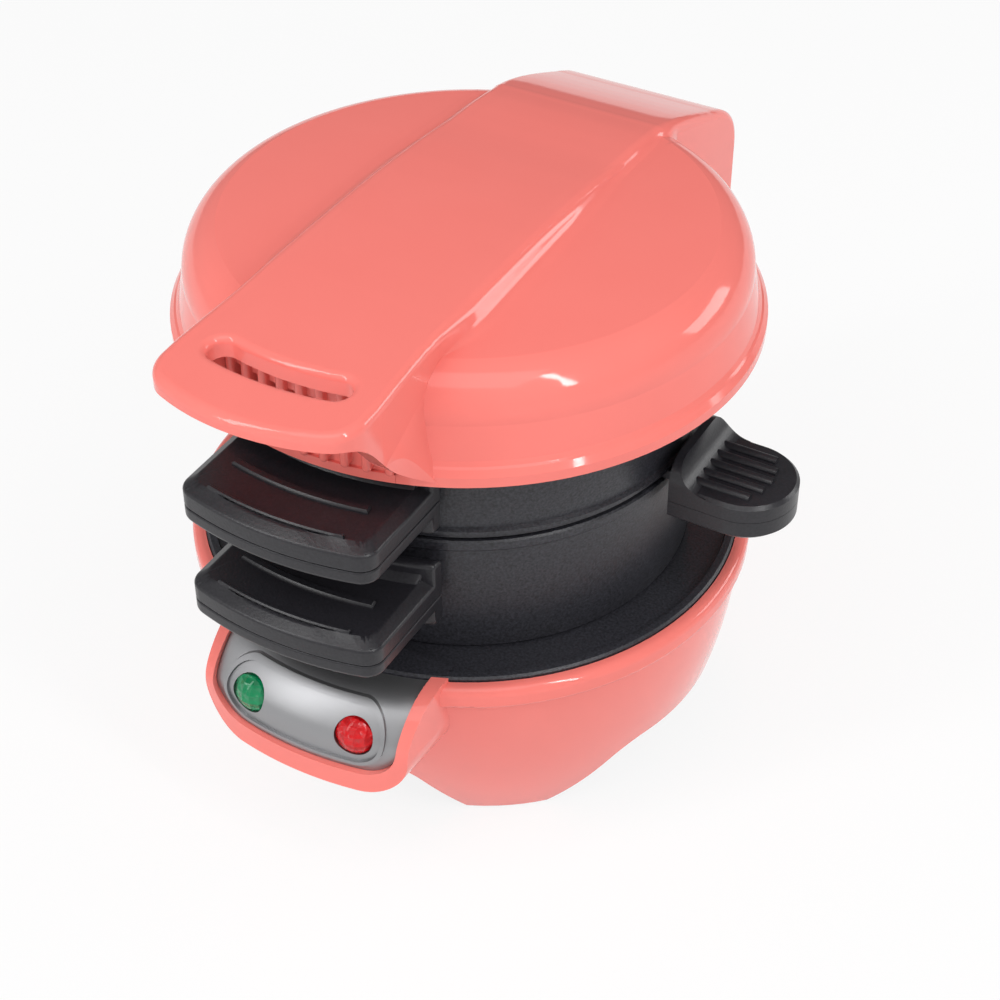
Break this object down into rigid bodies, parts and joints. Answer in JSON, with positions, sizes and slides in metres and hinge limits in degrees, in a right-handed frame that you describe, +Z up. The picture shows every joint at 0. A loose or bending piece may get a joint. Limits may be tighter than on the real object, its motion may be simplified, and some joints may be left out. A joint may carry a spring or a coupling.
{
  "type": "breakfast sandwich maker",
  "caption": "Countertop breakfast sandwich maker: round base with hot plate and light panel, stacked hinged rings, swing-out plate and domed lid.",
  "frame": {"origin": "on the table, under the middle of the object's bounding box", "axes": "+X to the right of someone facing the panel, +Y to the back where the hinge is, +Z up"},
  "size_m": [0.1506, 0.1906, 0.1473],
  "materials": {
    "coral_plastic": "glossy moulded coral plastic",
    "silver_panel": "silver painted, satin",
    "green_lens": "clear green moulded lens",
    "red_lens": "clear red moulded lens",
    "lamp_glass": "clear lamp bulb",
    "white_plastic": "plain inner moulding",
    "nonstick_metal": "dark non-stick coat, fine grained",
    "element_steel": "dull steel",
    "bare_aluminium": "spun aluminium",
    "black_plastic": "black heat-proof plastic, fine grained",
    "foot_rubber": "soft matt rubber",
    "fastener_steel": "plated steel"
  },
  "bodies": {
    "base": {"base_housing": "coral_plastic", "control_panel": "silver_panel", "preheat_lens": "green_lens", "power_lens": "red_lens", "preheat_lamp": "lamp_glass", "power_lamp": "lamp_glass", "lamp_holder": "white_plastic", "bottom_plate": "nonstick_metal", "bottom_heating_element": "element_steel", "bottom_reflector": "bare_aluminium", "bottom_thermostat": "black_plastic", "thermal_fuse": "element_steel", "bottom_cover": "black_plastic", "rubber_feet": "foot_rubber", "cover_screws": "fastener_steel", "cord_gland": "black_plastic", "terminal_block": "white_plastic", "hinge_pin": "fastener_steel"},
    "lower_ring_body": {"lower_ring": "nonstick_metal", "lower_handle_top": "black_plastic", "lower_handle_bottom": "black_plastic", "lower_handle_screws": "fastener_steel"},
    "upper_ring_body": {"upper_ring": "nonstick_metal", "upper_handle_top": "black_plastic", "upper_handle_bottom": "black_plastic", "upper_handle_screws": "fastener_steel", "plate_pivot_pin": "fastener_steel"},
    "cooking_plate_body": {"cooking_plate": "nonstick_metal", "plate_handle_top": "black_plastic", "plate_handle_bottom": "black_plastic", "plate_handle_screw": "fastener_steel"},
    "lid": {"lid_cover": "coral_plastic", "lid_handle_grille": "coral_plastic", "lid_liner": "black_plastic", "top_heating_plate": "nonstick_metal", "top_heating_element": "element_steel", "top_reflector": "bare_aluminium", "top_thermostat": "black_plastic", "lid_screws": "fastener_steel"}
  },
  "joints": [
    {"name": "lower_ring_hinge", "type": "hinge", "parent": "base", "child": "lower_ring_body", "pos_m": [-0.0073, 0.08525, 0.094], "axis": [-1, 0, 0], "range_deg": [0, 25]},
    {"name": "upper_ring_hinge", "type": "hinge", "parent": "lower_ring_body", "child": "upper_ring_body", "pos_m": [-0.0073, 0.08525, 0.094], "axis": [-1, 0, 0], "range_deg": [0, 35]},
    {"name": "lid_hinge", "type": "hinge", "parent": "upper_ring_body", "child": "lid", "pos_m": [-0.0073, 0.08525, 0.094], "axis": [-1, 0, 0], "range_deg": [0, 45]},
    {"name": "cooking_plate_pivot", "type": "hinge", "parent": "upper_ring_body", "child": "cooking_plate_body", "pos_m": [-0.0073, -0.06525, 0.0936], "axis": [0, 0, -1], "range_deg": [0, 120]}
  ]
}
